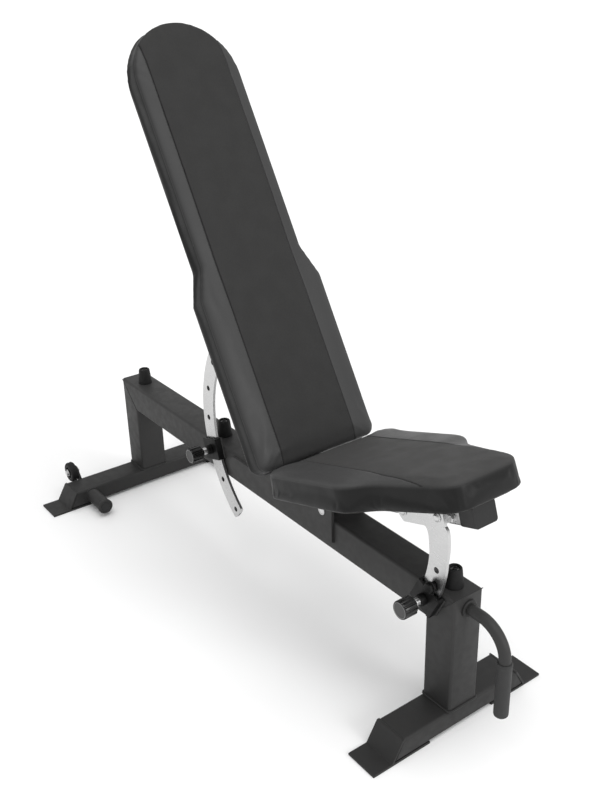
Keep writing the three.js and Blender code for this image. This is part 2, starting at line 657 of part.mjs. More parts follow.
function seat() {
  const padLow = SEAT_TOP - SEAT_T;
  add(seatGroup, 'seat_pad', extrude(seatPadShape(0), SEAT_T, 8).translate(0, 0, padLow), upholstery);
  const boardTop = padLow - GAP;
  add(seatGroup, 'seat_board',
    extrude(seatPadShape(8), BOARD_T, 8).translate(0, 0, boardTop - BOARD_T), board);
  crossPlates(seatGroup, 'seat', [-62, 225], boardTop - BOARD_T - GAP, 80);
  supportTube(seatGroup, 'seat_support_tube', SEAT_TUBE, zinc);
  add(seatGroup, 'seat_tube_cap', plug(SEAT_TUBE, 1, SEAT_CAP_LEN), plastic);

  const pin = SEAT_PIN_ANGLE - SEAT_ANGLE;
  const toPoint = (angle, r = SEAT_LADDER_R) => [r * Math.cos(rad(angle)), r * Math.sin(rad(angle))];
  const half = LADDER_W / 2;
  const low = pin - 3.6;
  const high = pin + SEAT_HOLES[1] + 7;
  const armTop = SEAT_TUBE.h / 2 - 1;
  const armLow = -SEAT_TUBE.h / 2 - 1;
  const [sx, sz] = toPoint(high, SEAT_LADDER_R + half);
  const [ix, iz] = toPoint(high, SEAT_LADDER_R - half);
  const shape = new THREE.Shape();
  shape.absarc(0, 0, SEAT_LADDER_R + half, rad(low + 2.6), rad(high), false);
  shape.quadraticCurveTo(sx + 13, sz + 26, sx + 17, sz + 50);
  shape.quadraticCurveTo(sx + 18, armLow, sx + 13, armLow + 4);
  shape.lineTo(sx + 14, armTop);
  shape.lineTo(ix - 64, armTop);
  shape.quadraticCurveTo(ix - 76, armTop - 14, ix - 54, armLow);
  shape.lineTo(ix - 2, armLow);
  shape.quadraticCurveTo(ix + 7, armLow, ix + 6, iz + 30);
  shape.lineTo(ix, iz);
  shape.absarc(0, 0, SEAT_LADDER_R - half, rad(high), rad(low + 2.6), true);
  bluntEnd(shape, SEAT_LADDER_R, low, false);
  const plate = slab(shape, -LADDER_FAR, -LADDER_NEAR, 8);
  const holes = SEAT_HOLES.map((step) => {
    const [x, z] = toPoint(pin + step);
    return rodY(x, z, HOLE_R, -LADDER_FAR - 1, -LADDER_NEAR + 1, 12);
  });
  const bolts = [[ix - 50, 0], [ix + 38, 0]];
  for (const [x, z] of bolts) holes.push(rodY(x, z, 4.3, -LADDER_FAR - 1, -LADDER_NEAR + 1, 12));
  add(seatGroup, 'seat_ladder', cut(plate, ...holes), zinc);
  ladderFixing('seat', seatGroup, bolts, SEAT_TUBE);
}

// ---------------------------------------------------------------- build
const pinAt = (pivot, radius, angle) => ({
  x: pivot.x + radius * Math.cos(rad(angle)),
  z: pivot.z + radius * Math.sin(rad(angle)),
});
const BACK_PIN = pinAt(BACK_PIVOT, BACK_LADDER_R, BACK_PIN_ANGLE);
const SEAT_PIN = pinAt(SEAT_PIVOT, SEAT_LADDER_R, SEAT_PIN_ANGLE);

crossFoot('rear', REAR_X, REAR_FOOT);
crossFoot('front', 0, FRONT_FOOT);
post('rear_post', REAR_X, 1);
post('front_post', 0, -1);
mainBeam();
pivotPlates();
pivotBolts();
ladderGuide('back', BACK_PIN, -(BACK_PIN_ANGLE - 180), 0);
ladderGuide('seat', SEAT_PIN, -SEAT_PIN_ANGLE, 12);
pullPin('back', BACK_PIN);
pullPin('seat', SEAT_PIN);
bumper('rear', REAR_BUMPER_X);
bumper('middle', MID_BUMPER_X);
bumper('front', FRONT_BUMPER_X);
handle();
wheelsAndPegs();
backRest();
seat();

export default bench;
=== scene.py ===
"""The looks of the adjustable weight bench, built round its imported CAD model.

Everything is in metres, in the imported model's own frame: +X towards the seat end, +Y to the sitter's left,
and +Z up.
"""

import json
import math

import bmesh
import bpy
import numpy as np
from mathutils import Matrix, Vector


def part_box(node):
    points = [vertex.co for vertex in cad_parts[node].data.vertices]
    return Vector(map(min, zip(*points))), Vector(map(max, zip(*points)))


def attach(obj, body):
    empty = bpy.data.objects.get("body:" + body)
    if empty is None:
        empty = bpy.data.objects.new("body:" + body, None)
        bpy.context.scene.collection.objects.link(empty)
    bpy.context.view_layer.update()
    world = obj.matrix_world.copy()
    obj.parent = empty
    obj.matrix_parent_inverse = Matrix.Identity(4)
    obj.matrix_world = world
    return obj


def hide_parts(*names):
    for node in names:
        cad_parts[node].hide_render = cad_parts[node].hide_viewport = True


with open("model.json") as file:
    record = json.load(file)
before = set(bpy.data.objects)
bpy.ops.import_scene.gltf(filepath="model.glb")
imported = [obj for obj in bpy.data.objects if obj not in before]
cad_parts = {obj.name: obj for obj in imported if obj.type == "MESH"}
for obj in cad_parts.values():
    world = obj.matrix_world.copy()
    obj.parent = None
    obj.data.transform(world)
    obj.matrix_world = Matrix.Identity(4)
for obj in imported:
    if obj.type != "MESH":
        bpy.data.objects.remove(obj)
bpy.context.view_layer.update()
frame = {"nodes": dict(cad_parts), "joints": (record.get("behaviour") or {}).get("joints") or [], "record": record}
NODES = frame["nodes"]

MM = 0.001
UP = Vector((0, 0, 1))
ALONG_X = Matrix.Rotation(math.pi / 2, 4, "Y")  # turns a piece drawn along +Z so that it lies along +X
ALONG_RIGHT = Matrix.Rotation(math.pi / 2, 4, "X")  # turns it so that it lies along -Y
RIGHT = Vector((0, -1, 0))

BACK_TILT = 59  # degrees the back rest and the seat are turned from level, as the bench stands
SEAT_TILT = 18
BACK_LADDER_RADIUS = 284 * MM  # from the pivot to the row of holes
SEAT_LADDER_RADIUS = 225 * MM
HOLE_ROW_HALF = 7 * MM  # half the width of the band that the holes lie in
TUBE_HALF = 35 * MM  # half the width of the beam and the posts
TUBE_CORNER = 6 * MM
PLATE_ARM = 86 * MM  # how far the side plates' forward arm reaches past the rest of the plate

# Where the camera stands, and the angles of its view in degrees, for a frame of 613 x 800.
CAMERA_AT = (1.5464, -1.0415, 1.3211)
CAMERA_AZIMUTH, CAMERA_ELEVATION, CAMERA_ROLL = -36.265, 25.152, -1.365
CAMERA_LENS = 44.27


# ---------------------------------------------------------------- materials
class Nodes:
    """A material's node tree, with short calls to grow it."""

    def __init__(self, name):
        self.material = bpy.data.materials.new(name)
        self.material.use_nodes = True
        self.tree = self.material.node_tree
        self.shader = self.tree.nodes["Principled BSDF"]
        self.place = self.add("ShaderNodeTexCoord").outputs["Object"]

    def add(self, kind, settings=None, **inputs):
        node = self.tree.nodes.new(kind)
        for key, value in (settings or {}).items():
            setattr(node, key, value)
        for key, value in inputs.items():
            self.put(node, key.replace("_", " "), value)
        return node

    def put(self, node, socket, value):
        target = node.inputs[int(socket)] if socket.isdigit() else node.inputs[socket]
        if isinstance(value, bpy.types.NodeSocket):
            self.tree.links.new(value, target)
        else:
            target.default_value = value

    def set(self, **inputs):
        for key, value in inputs.items():
            self.put(self.shader, key.replace("_", " "), value)

    def math(self, operation, a, b=0.0, clamp=False):
        node = self.add("ShaderNodeMath", {"operation": operation, "use_clamp": clamp})
        self.put(node, "0", a)
        self.put(node, "1", b)
        return node.outputs[0]

    def ramp(self, value, low, high, to_low=0.0, to_high=1.0):
        """The value, eased from the range low to high into the range to_low to to_high."""
        node = self.add("ShaderNodeMapRange", {"interpolation_type": "SMOOTHSTEP"}, Value=value)
        for key, number in zip(("From Min", "From Max", "To Min", "To Max"), (low, high, to_low, to_high)):
            self.put(node, key, number)
        return node.outputs[0]

    def mix(self, amount, a, b):
        node = self.add("ShaderNodeMix", {"data_type": "RGBA"})
        self.put(node, "0", amount)
        self.put(node, "6", a)
        self.put(node, "7", b)
        return node.outputs[2]

    def noise(self, scale, detail=3.0, vector=None):
        return self.add("ShaderNodeTexNoise", Vector=vector or self.place, Scale=scale,
                        Detail=detail).outputs["Fac"]

    def cells(self, scale):
        node = self.add("ShaderNodeTexVoronoi", {"feature": "F1"}, Vector=self.place, Scale=scale)
        return node.outputs["Distance"]

    def stretched(self, x, y, z):
        node = self.add("ShaderNodeMapping", Vector=self.place)
        node.inputs["Scale"].default_value = (x, y, z)
        return node.outputs[0]

    def axes(self):
        return self.add("ShaderNodeSeparateXYZ", Vector=self.place).outputs

    def bump(self, height, strength, distance, onto=None):
        node = self.add("ShaderNodeBump", Height=height, Strength=strength, Distance=distance)
        if onto is not None:
            self.put(node, "Normal", onto)
        return node.outputs[0]


def grey(value, warmth=0.0):
    return (value * (1 + warmth), value, value * (1 - warmth), 1)


def joint_at(name):
    return Vector(next(j for j in frame["joints"] if j["name"] == name)["pos_m"])


FLOOR_SHADE_TOP = 240 * MM  # the paint is darkened below this height as painted shade near the floor


def powder_coat():
    """Matt black with a fine skin, and painted shade that darkens it towards the floor."""
    n = Nodes("black_powder_coat")
    cloud = n.noise(9, 2)
    above_floor_shade = n.ramp(n.axes()[2], 0.0, FLOOR_SHADE_TOP)
    coat = n.mix(cloud, grey(0.032, 0.01), grey(0.039, 0.01))
    # painted shade: the darker grey near the floor fades into the coat up to the top height
    n.set(Base_Color=n.mix(above_floor_shade, grey(0.024, 0.01), coat), Specular_IOR_Level=0.21,
          Roughness=n.ramp(n.noise(60), 0.3, 0.7, 0.44, 0.56))
    skin = n.bump(n.noise(1500, 2), 0.25, 0.00012)
    n.set(Normal=n.bump(n.noise(240, 1), 0.12, 0.0003, skin))
    return n.material


def satin_sheen(n):
    """The slightly streaky roughness and the fine grain that all the zinc shares."""
    streaks = n.noise(70, 4, n.stretched(1.0, 6.0, 9.0))
    n.set(Roughness=n.ramp(streaks, 0.3, 0.7, 0.26, 0.36), Normal=n.bump(n.noise(700, 2), 0.08, 0.0002))


def zinc():
    n = Nodes("satin_zinc")
    n.set(Base_Color=n.mix(n.noise(14), grey(0.56), grey(0.64)), Metallic=1.0)
    satin_sheen(n)
    return n.material


def ladder_zinc(name, joint, radius):
    """Zinc with painted shade on the walls of the holes, which lie in a row at a radius round the joint's pivot.
    """
    n = Nodes(name)
    pivot = joint_at(joint)
    x, y, z = n.axes()[:3]
    dx, dz = n.math("SUBTRACT", x, pivot.x), n.math("SUBTRACT", z, pivot.z)
    reach = n.math("SQRT", n.math("ADD", n.math("MULTIPLY", dx, dx), n.math("MULTIPLY", dz, dz)))
    off = n.math("ABSOLUTE", n.math("SUBTRACT", reach, radius))
    facing = n.add("ShaderNodeSeparateXYZ", Vector=n.add("ShaderNodeTexCoord").outputs["Normal"]).outputs[1]
    in_row = n.ramp(off, HOLE_ROW_HALF, HOLE_ROW_HALF + 1 * MM, 1.0, 0.0)
    # painted shade: the hole walls are drawn dark and not metallic, where shade falls in them
    painted_hole_shade = n.math("MULTIPLY", in_row, n.ramp(n.math("ABSOLUTE", facing), 0.4, 0.7, 1.0, 0.0))
    plate = n.mix(n.noise(14), grey(0.54), grey(0.62))
    n.set(Base_Color=n.mix(painted_hole_shade, plate, grey(0.03)), Metallic=n.math("SUBTRACT", 1.0, painted_hole_shade))
    satin_sheen(n)
    return n.material


def rubber():
    n = Nodes("moulded_rubber")
    n.set(Base_Color=n.mix(n.noise(30), grey(0.007), grey(0.012)), Specular_IOR_Level=0.25,
          Roughness=n.ramp(n.noise(120), 0.3, 0.7, 0.62, 0.78),
          Normal=n.bump(n.noise(900, 3), 0.35, 0.0002))
    return n.material


def plastic(name, low, high, rough, specular=0.3):
    n = Nodes(name)
    n.set(Base_Color=n.mix(n.noise(40), grey(low), grey(high)), Specular_IOR_Level=specular,
          Roughness=n.ramp(n.noise(90), 0.3, 0.7, rough - 0.05, rough + 0.06),
          Normal=n.bump(n.noise(1300, 2), 0.2, 0.00015))
    return n.material


GRAIN_STRETCH = (3.0, 60.0, 60.0)  # scale of the grain along the board, across it and through it
PLY_LAYER = 3 * MM


def stained_ply(name, place):
    """Black-stained plywood: grain along the board, and its layers along the edges."""
    n = Nodes(name)
    turned = n.add("ShaderNodeMapping", Vector=n.place)
    turned.inputs["Rotation"].default_value = (0, -place.to_euler().y, 0)
    axes = n.add("ShaderNodeSeparateXYZ", Vector=turned.outputs[0]).outputs
    stretch = dict(zip("XYZ", (n.math("MULTIPLY", axes[i], GRAIN_STRETCH[i]) for i in range(3))))
    long = n.add("ShaderNodeCombineXYZ", **stretch).outputs[0]
    grain = n.noise(2.2, 6, long)
    layer = n.math("SINE", n.math("MULTIPLY", axes[2], 2 * math.pi / PLY_LAYER))
    tone = n.mix(grain, grey(0.012, 0.06), grey(0.028, 0.08))
    n.set(Base_Color=n.mix(n.math("MULTIPLY", n.ramp(layer, 0, 1), 0.3), tone, grey(0.008, 0.05)),
          Roughness=n.ramp(grain, 0.3, 0.7, 0.62, 0.8),
          Normal=n.bump(grain, 0.4, 0.0004))
    return n.material


DIAMOND_PITCH = 3.2 * MM  # of the grip's pattern, up the grip
DIAMONDS_ROUND = 26


def hand_grip():
    """Rubber with a fine diamond pattern, drawn round the grip's own vertical axis."""
    n = Nodes("diamond_grip_rubber")
    axes = n.axes()
    angle = n.math("ARCTAN2", axes[1], axes[0])
    up = n.math("MULTIPLY", axes[2], 2 * math.pi / DIAMOND_PITCH)
    one = n.math("SINE", n.math("ADD", n.math("MULTIPLY", angle, DIAMONDS_ROUND), up))
    other = n.math("SINE", n.math("SUBTRACT", n.math("MULTIPLY", angle, DIAMONDS_ROUND), up))
    n.set(Base_Color=n.mix(n.noise(60), grey(0.016), grey(0.024)), Roughness=0.66,
          Normal=n.bump(n.math("MULTIPLY", one, other), 0.35, 0.0004))
    return n.material


BACK_TONES = (0.041, 0.024)  # how light the side panels and the middle panel are; the back's are set darker than the seat's as painted shade
SEAT_TONES = (0.053, 0.047)
BOXING_TONE = 0.008
WEAVE_PITCH = 1.7 * MM


def upholstery(name, seam, flare, span, tones, top, rounding):
    """Grained vinyl on the side panels, a flat weave on the middle one and darker boxing round the edge."""
    n = Nodes(name)
    x, y, z = n.axes()[:3]
    along = n.math("DIVIDE", n.math("SUBTRACT", x, span[0]), span[1] - span[0], clamp=True)
    flared = n.math("MULTIPLY", n.math("MULTIPLY", along, along), flare)
    across = n.math("SUBTRACT", n.math("SUBTRACT", n.math("ABSOLUTE", y), seam), flared)
    middle = n.ramp(across, -0.3 * MM, 0.3 * MM, 1.0, 0.0)
    wall = n.ramp(z, top - rounding * 1.7, top - rounding * 0.25, 1.0, 0.0)
    middle = n.math("MULTIPLY", middle, n.math("SUBTRACT", 1.0, wall))
    cloud = n.noise(7, 2)
    side = n.mix(cloud, grey(tones[0] * 0.93), grey(tones[0] * 1.07))
    woven = n.mix(n.noise(420, 2), grey(tones[1] * 0.85, 0.01), grey(tones[1] * 1.15, 0.01))
    boxing = n.mix(cloud, grey(BOXING_TONE * 0.93), grey(BOXING_TONE * 1.07))
    n.set(Base_Color=n.mix(wall, n.mix(middle, side, woven), boxing))
    worn = n.ramp(n.noise(26), 0.3, 0.7, 0.38, 0.48)
    n.set(Specular_IOR_Level=0.2, Roughness=n.math("ADD", worn, n.math("MULTIPLY", middle, 0.26)))
    turns = 2 * math.pi / WEAVE_PITCH
    weave = n.math("MULTIPLY", n.math("SINE", n.math("MULTIPLY", x, turns)),
                   n.math("SINE", n.math("MULTIPLY", y, turns)))
    grain = n.math("MULTIPLY", n.cells(820), 2.2)
    height = n.math("ADD", n.math("MULTIPLY", weave, middle),
                    n.math("MULTIPLY", grain, n.math("SUBTRACT", 1.0, middle)))
    n.set(Normal=n.bump(n.noise(60, 2), 0.12, 0.0012, n.bump(height, 0.28, 0.0002)))
    return n.material


PAINT = powder_coat()
ZINC = zinc()
# painted shade: the guides, their flanges and the guide screw get a darker copy of the frame's black paint, as it
# looks in shade
SHADED_GUIDE_PAINT = plastic("guide_paint_painted_shade", 0.004, 0.007, 0.45, 0.2)
RUBBER = rubber()
PLASTIC = plastic("moulded_plastic", 0.012, 0.017, 0.4)
KNOB_PLASTIC = plastic("glossy_knob", 0.006, 0.009, 0.3, 0.45)
KNOB_FACE = plastic("knob_insert", 0.06, 0.075, 0.5)
KNOB_RIM = plastic("knob_rim", 0.24, 0.30, 0.35)
SPECIAL_LOOKS = {"back_guide": SHADED_GUIDE_PAINT, "seat_guide": SHADED_GUIDE_PAINT,
                 "back_ladder": ladder_zinc("back_ladder_zinc", "back_tilt", BACK_LADDER_RADIUS),
                 "seat_ladder": ladder_zinc("seat_ladder_zinc", "seat_tilt", SEAT_LADDER_RADIUS)}
SLOT_LOOKS = {"black_paint": PAINT, "zinc_plate": ZINC, "rubber": RUBBER, "black_plastic": PLASTIC}


# ---------------------------------------------------------------- frames of the pieces
def pivot_frame(joint, degrees):
    """The flat frame of the back rest or the seat: its pivot, turned about Y as the bench stands."""
    return Matrix.Translation(joint_at(joint)) @ Matrix.Rotation(math.radians(degrees), 4, "Y")


BACK_FRAME = pivot_frame("back_tilt", BACK_TILT)
SEAT_FRAME = pivot_frame("seat_tilt", -SEAT_TILT)


def middle_of(node):
    low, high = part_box(node)
    return (low + high) / 2


# ---------------------------------------------------------------- carried-over CAD nodes
EDGE_ANGLE = math.radians(33)  # edges sharper than this get a small round


def round_edges(piece, width=0.4 * MM):
    bevel = piece.modifiers.new("bevel", "BEVEL")
    bevel.width = width
    bevel.segments = 2
    bevel.limit_method = "ANGLE"
    bevel.angle_limit = EDGE_ANGLE
    bevel.harden_normals = True
    bevel.use_clamp_overlap = True


def dress_cad_nodes():
    """Gives each CAD node its slot's material and a small round on its edges."""
    slots = {s["node"]: s["material_slot"] for s in frame["record"]["subparts"]}
    boards = {"back_board": BACK_FRAME, "seat_board": SEAT_FRAME}
    for name, node in NODES.items():
        look = SPECIAL_LOOKS.get(name, SLOT_LOOKS.get(slots.get(name), PAINT))
        if name in boards:
            look = stained_ply(name + "_ply", boards[name])
        node.data.materials.clear()
        node.data.materials.append(look)
        for attribute in ("custom_normal", "sharp_edge", "sharp_face"):
            if attribute in node.data.attributes:
                node.data.attributes.remove(node.data.attributes[attribute])
        node.data.polygons.foreach_set("use_smooth", [True] * len(node.data.polygons))
        weld = node.modifiers.new("weld", "WELD")
        weld.merge_threshold = 1e-5
        low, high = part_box(name)
        round_edges(node, min(0.9 * MM, min(high - low) * 0.08))


# ---------------------------------------------------------------- mesh helpers
def new_piece(name, bm, place, body, material):
    mesh = bpy.data.meshes.new(name)
    bm.to_mesh(mesh)
    bm.free()
    mesh.materials.append(material)
    mesh.polygons.foreach_set("use_smooth", [True] * len(mesh.polygons))
    piece = bpy.data.objects.new(name, mesh)
    bpy.context.scene.collection.objects.link(piece)
    piece.matrix_world = place
    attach(piece, body)
    return piece


def turned(name, profile, place, body, material, sides=48, shape=None, edge=0.4 * MM):
    """A piece turned about its own Z. The profile gives (radius, height) in mm, and shape(angle, index)
    scales the radius of its point of that index."""
    bm = bmesh.new()
    rings = []
    for index, (radius, height) in enumerate(profile):
        if radius == 0:
            rings.append([bm.verts.new((0, 0, height * MM))])
            continue
        ring = []
        for i in range(sides):
            angle = 2 * math.pi * i / sides
            r = radius * MM * (shape(angle, index) if shape else 1)
            ring.append(bm.verts.new((r * math.cos(angle), r * math.sin(angle), height * MM)))
        rings.append(ring)
    for a, b in zip(rings, rings[1:]):
        for i in range(sides):
            j = (i + 1) % sides
            corners = [a[i % len(a)], a[j % len(a)], b[j % len(b)], b[i % len(b)]]
            unique = list(dict.fromkeys(corners))
            if len(unique) > 2:
                bm.faces.new(unique)
    bmesh.ops.recalc_face_normals(bm, faces=bm.faces)
    piece = new_piece(name, bm, place, body, material)
    round_edges(piece, edge)
    return piece


RIPPLE_PITCH = 3.4 * MM  # of the scales on a weld bead


def swept(name, path, radius, body, material, sides, closed=False, ripple=0.0):
    """A round bar, or with a ripple a weld bead, along a path of points."""
    points = [Vector(p) for p in path]
    count = len(points)
    bm = bmesh.new()
    rings, travelled, side = [], 0.0, None
    for i, point in enumerate(points):
        before = points[i - 1] if i or closed else point
        after = points[(i + 1) % count] if i < count - 1 or closed else point
        forward = (after - before).normalized()
        if side is None:
            side = forward.orthogonal().normalized()
        side = (side - forward * side.dot(forward)).normalized()
        other = forward.cross(side)
        if i:
            travelled += (point - points[i - 1]).length
        r = radius * (1 + ripple * math.cos(2 * math.pi * travelled / RIPPLE_PITCH))
        rings.append([bm.verts.new(point + r * (math.cos(a) * side + math.sin(a) * other))
                      for a in (2 * math.pi * k / sides for k in range(sides))])
    pairs = list(zip(rings, rings[1:])) + ([(rings[-1], rings[0])] if closed else [])
    for a, b in pairs:
        for k in range(sides):
            m = (k + 1) % sides
            bm.faces.new((a[k], a[m], b[m], b[k]))
    if not closed:
        bm.faces.new(rings[0])
        bm.faces.new(rings[-1])
    bmesh.ops.recalc_face_normals(bm, faces=bm.faces)
    return new_piece(name, bm, Matrix.Identity(4), body, material)


def spaced(corners, step=0.9 * MM, closed=False):
    """Points a step apart along straight lines between corners."""
    corners = [Vector(c) for c in corners]
    ends = corners[1:] + (corners[:1] if closed else [])
    points = []
    for start, end in zip(corners, ends):
        pieces = max(1, round((end - start).length / step))
        points += [start.lerp(end, i / pieces) for i in range(pieces)]
    return points if closed else points + [corners[-1]]


def round_rectangle(centre, half_x, half_y, corner):
    """Corner points of a level rounded rectangle."""
    points = []
    for sx, sy, start in ((1, 1, 0), (-1, 1, 90), (-1, -1, 180), (1, -1, 270)):
        for k in range(5):
            a = math.radians(start + 22.5 * k)
            points.append(centre + Vector((sx * (half_x - corner) + corner * math.cos(a),
                                           sy * (half_y - corner) + corner * math.sin(a), 0)))
    return points


def circle(centre, radius, across, up, count=60):
    return [centre + radius * (math.cos(a) * across + math.sin(a) * up)
            for a in (2 * math.pi * i / count for i in range(count))]


# ---------------------------------------------------------------- pads
def coordinates(mesh):
    co = np.zeros(len(mesh.vertices) * 3, np.float32)
    mesh.vertices.foreach_get("co", co)
    return co.reshape(-1, 3).astype(float)


def put_coordinates(mesh, co):
    mesh.vertices.foreach_set("co", co.astype(np.float32).ravel())
    mesh.update()


def normals(mesh):
    found = np.zeros(len(mesh.vertices) * 3, np.float32)
    mesh.vertex_normals.foreach_get("vector", found)
    return found.reshape(-1, 3).astype(float)


def apply_modifiers(piece):
    graph = bpy.context.evaluated_depsgraph_get()
    mesh = bpy.data.meshes.new_from_object(piece.evaluated_get(graph))
    piece.modifiers.clear()
    piece.data = mesh


def flat_box(node, place):
    """A CAD node's lowest and highest corners in the frame of a place."""
    inverse = place.inverted()
    points = [inverse @ v.co for v in NODES[node].data.vertices]
    return Vector(map(min, zip(*points))), Vector(map(max, zip(*points)))


UNDERSIDE_ROUND = 5 * MM


def foam_block(name, node, place, inset, skirt, rounding):
    """The pad's block in its flat frame, with rounded edges. Each side lies in from the CAD solid's by the
    inset, or out where that is negative. Its underside lies lower by the skirt, where the cover wraps round
    the board."""
    bm = bmesh.new()
    bm.from_mesh(NODES[node].data)
    bmesh.ops.remove_doubles(bm, verts=bm.verts, dist=1e-5)
    bmesh.ops.transform(bm, matrix=place.inverted(), verts=bm.verts)
    bmesh.ops.dissolve_limit(bm, angle_limit=math.radians(1), verts=bm.verts, edges=bm.edges)
    low = Vector(map(min, zip(*(v.co for v in bm.verts))))
    high = Vector(map(max, zip(*(v.co for v in bm.verts))))
    middle, size = (low + high) / 2, high - low
    for v in bm.verts:
        for i in range(3):
            v.co[i] = middle[i] + (v.co[i] - middle[i]) * (size[i] - 2 * inset[i]) / size[i]
        if v.co.z < middle.z:
            v.co.z -= skirt
    top, bottom = high.z - inset[2], low.z + inset[2] - skirt
    for level, width in ((top, rounding), (bottom, UNDERSIDE_ROUND)):
        rim = [e for e in bm.edges if all(abs(v.co.z - level) < 1e-5 for v in e.verts)]
        bmesh.ops.bevel(bm, geom=rim, offset=width, segments=5, profile=0.5, affect="EDGES",
                        clamp_overlap=True)
    bmesh.ops.triangulate(bm, faces=bm.faces)
    mesh = bpy.data.meshes.new(name)
    bm.to_mesh(mesh)
    bm.free()
    block = bpy.data.objects.new(name, mesh)
    bpy.context.scene.collection.objects.link(block)
    return block


def voxel_remesh(piece, size):
    remesh = piece.modifiers.new("remesh", "REMESH")
    remesh.mode = "VOXEL"
    remesh.voxel_size = size
    apply_modifiers(piece)


CLOTH_PRESSURE = 4
CLOTH_FRAMES = 20
SWELL_CAP = 4 * MM


def swell(piece, cap, held_below):
    """Blows the cover up as cloth over foam, holding its underside, and caps how far a point moves."""
    rest = coordinates(piece.data)
    held = piece.vertex_groups.new(name="held")
    held.add([int(i) for i in np.nonzero(rest[:, 2] < held_below)[0]], 1.0, "REPLACE")
    cloth = piece.modifiers.new("cloth", "CLOTH")
    cloth.settings.use_pressure = True
    cloth.settings.uniform_pressure_force = CLOTH_PRESSURE
    cloth.settings.effector_weights.gravity = 0
    cloth.settings.vertex_group_mass = "held"
    cloth.point_cache.frame_start = 1
    cloth.point_cache.frame_end = CLOTH_FRAMES
    scene = bpy.context.scene
    for number in range(1, CLOTH_FRAMES + 1):
        scene.frame_set(number)
    graph = bpy.context.evaluated_depsgraph_get()
    blown = coordinates(piece.evaluated_get(graph).data)
    piece.modifiers.clear()
    piece.vertex_groups.clear()
    scene.frame_set(1)
    move = blown - rest
    length = np.maximum(np.linalg.norm(move, axis=1), 1e-9)
    put_coordinates(piece.data, rest + move * (np.minimum(length, cap) / length)[:, None])


def subdivide_once(piece):
    smooth = piece.modifiers.new("smooth", "SUBSURF")
    smooth.levels = smooth.render_levels = 1
    apply_modifiers(piece)


def score(piece, axis, places):
    """Cuts a row of edges through the mesh at each place along an axis."""
    bm = bmesh.new()
    bm.from_mesh(piece.data)
    along = Vector([float(i == axis) for i in range(3)])
    for place in places:
        bmesh.ops.bisect_plane(bm, geom=bm.verts[:] + bm.edges[:] + bm.faces[:], dist=1e-6,
                               plane_co=along * place, plane_no=along)
    bm.to_mesh(piece.data)
    bm.free()


SEAM_DEPTH = 2.3 * MM
SEAM_HALF = 1.1 * MM
EDGE_SEAM_DEPTH = 0.35 * MM
EDGE_SEAM_HALF = 1.0 * MM
PULL_DEPTH = 0.35 * MM  # the cover's dip beside a long seam, where the thread pulls it down
PULL_REACH = 9 * MM
PULL_PITCH = 17 * MM
SEAM_STEPS = [s * MM for s in (-4.0, -2.2, -1.1, -0.5, 0, 0.5, 1.1, 2.2, 4.0)]


def seam_line(x, seam, flare, span):
    """How far the long seams lie from the middle, at each x."""
    along = np.clip((x - span[0]) / (span[1] - span[0]), 0, 1)
    return seam + flare * along ** 2


def sew(piece, seam, flare, span, edge_seam):
    """Presses the seams in: two along the pad, and one round the edge under the rounding."""
    co = coordinates(piece.data)
    co[:, 1] *= seam / seam_line(co[:, 0], seam, flare, span)
    put_coordinates(piece.data, co)
    score(piece, 1, [side * seam + s for side in (-1, 1) for s in SEAM_STEPS])
    co = coordinates(piece.data)
    co[:, 1] *= seam_line(co[:, 0], seam, flare, span) / seam
    put_coordinates(piece.data, co)
    score(piece, 2, [edge_seam + s for s in SEAM_STEPS if abs(s) < 3 * MM])
    co, out = coordinates(piece.data), normals(piece.data)
    off = np.abs(np.abs(co[:, 1]) - seam_line(co[:, 0], seam, flare, span))
    on_top = np.clip((co[:, 2] - edge_seam) / (3 * MM), 0, 1)
    puckers = 1 + 0.5 * np.sin(co[:, 0] * 2 * math.pi / PULL_PITCH)
    pulled = PULL_DEPTH * np.exp(-off / PULL_REACH) * puckers
    long_seam = (SEAM_DEPTH * np.exp(-(off / SEAM_HALF) ** 2) + pulled) * on_top
    on_side = np.abs(out[:, 2]) < 0.8
    round_edge = EDGE_SEAM_DEPTH * np.exp(-((co[:, 2] - edge_seam) / EDGE_SEAM_HALF) ** 2) * on_side
    put_coordinates(piece.data, co - out * (long_seam + round_edge)[:, None])


def pad(name, node, body, place, seam, flare, tones, voxel, rounding, inset, skirt=0.0):
    """A cushion: foam, swollen under its cover, and sewn. The long seams lie at seam from the middle, and
    flare outwards along the pad. The cover reaches down by the skirt past the CAD solid."""
    low, high = flat_box(node, place)
    span = (low.x, high.x)
    piece = foam_block(name, node, place, inset, skirt, rounding)
    voxel_remesh(piece, voxel)
    swell(piece, SWELL_CAP, low.z - skirt + UNDERSIDE_ROUND)
    subdivide_once(piece)
    sew(piece, seam, flare, span, high.z - rounding * 1.15)
    mesh = piece.data
    mesh.materials.clear()
    mesh.materials.append(upholstery(name + "_cover", seam, flare, span, tones, high.z, rounding))
    mesh.polygons.foreach_set("use_smooth", [True] * len(mesh.polygons))
    piece.matrix_world = place
    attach(piece, body)
    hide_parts(node)


# ---------------------------------------------------------------- small pieces
WASHER_THICK = 1.8  # in mm, as profiles are


def hex_head(name, place, body, radius, height, washer, material):
    """A hexagon bolt head on its washer, standing up from a place along its Z. Sizes are in mm, and both
    radius and washer are radii."""
    disc = [(0, 0), (washer, 0), (washer, WASHER_THICK), (0, WASHER_THICK)]
    turned(name + "_washer", disc, place, body, material, 36)
    top = height + WASHER_THICK
    profile = [(0, WASHER_THICK), (radius, WASHER_THICK), (radius, top - 1.2), (radius * 0.86, top), (0, top)]
    head = turned(name, profile, place, body, material, 6, edge=0.5 * MM)
    return head


GUIDE_HEAD = 7 * MM  # how far the CAD screw's head stands out from the guide's tongue


